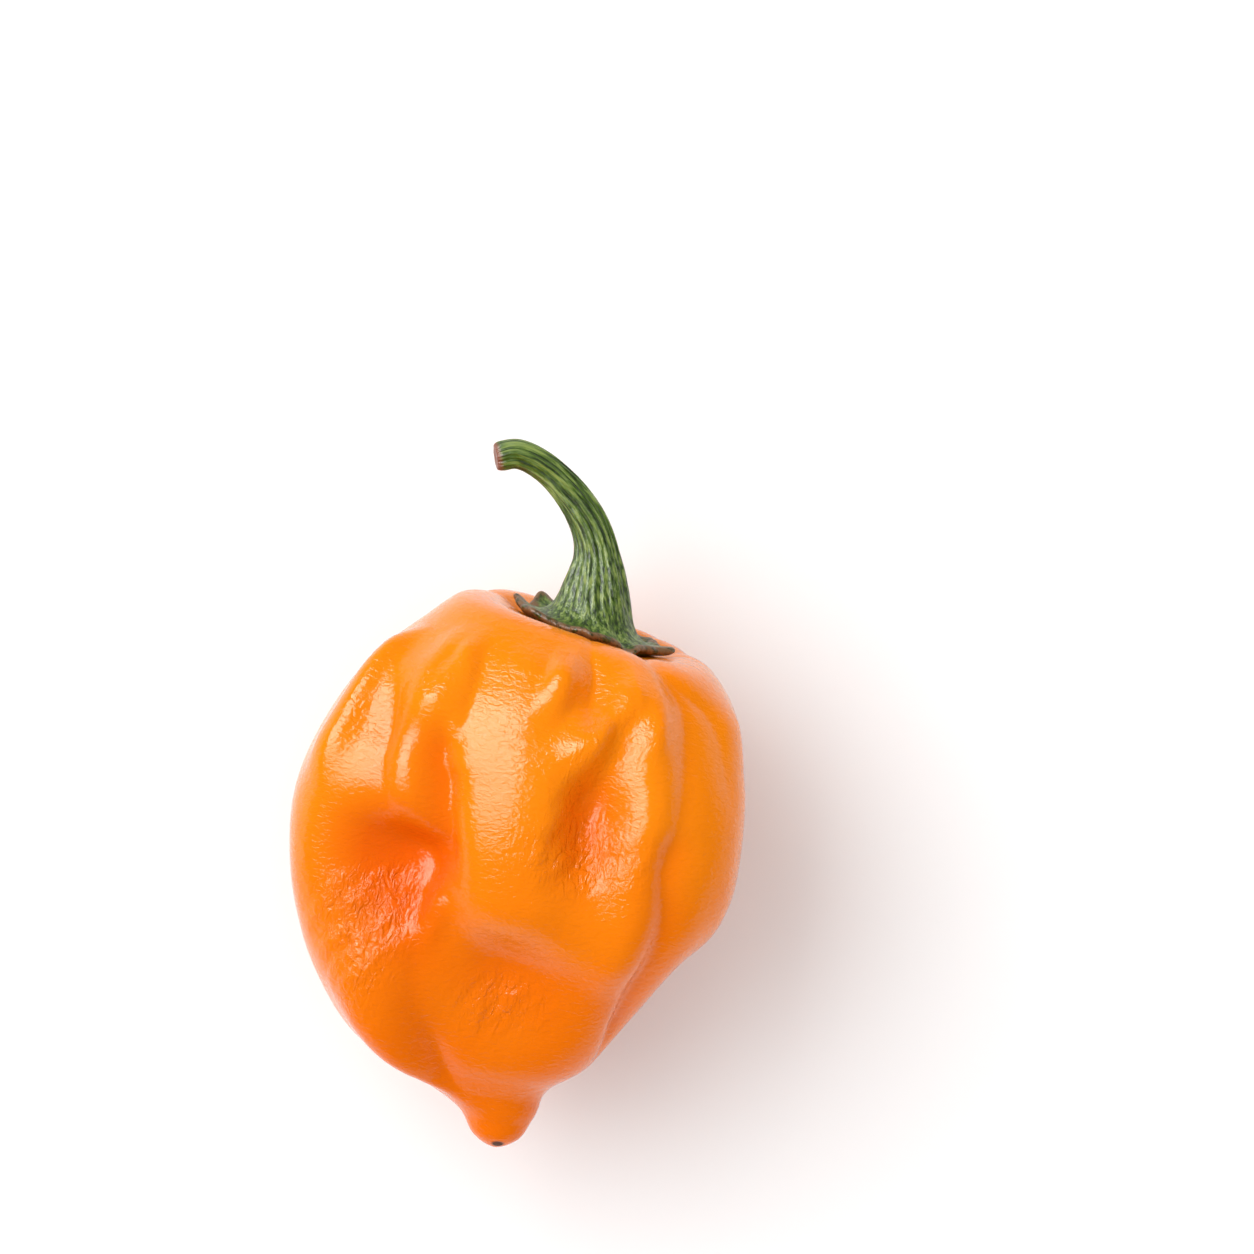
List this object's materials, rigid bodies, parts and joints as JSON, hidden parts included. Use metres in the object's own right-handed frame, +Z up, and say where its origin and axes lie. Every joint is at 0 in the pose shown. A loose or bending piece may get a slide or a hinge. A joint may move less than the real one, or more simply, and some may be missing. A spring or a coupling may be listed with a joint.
{
  "type": "habanero pepper",
  "caption": "Orange habanero pepper as picked: lobed, dented pod with a nipple tip, lying on its side with a green calyx and curved stem.",
  "frame": {"origin": "on the surface that the pepper lies on, under the middle of its box", "axes": "+Z up, +Y along the pepper from the tip to the stem, +X to the right of a viewer who looks down on it with the stem away"},
  "size_m": [0.0399, 0.0626, 0.0394],
  "materials": {
    "pod_skin": "smooth waxy orange fruit skin",
    "green_stem": "fibrous matt green stem"
  },
  "bodies": {
    "root": {"pod": "pod_skin", "stem_with_calyx": "green_stem"}
  },
  "joints": []
}
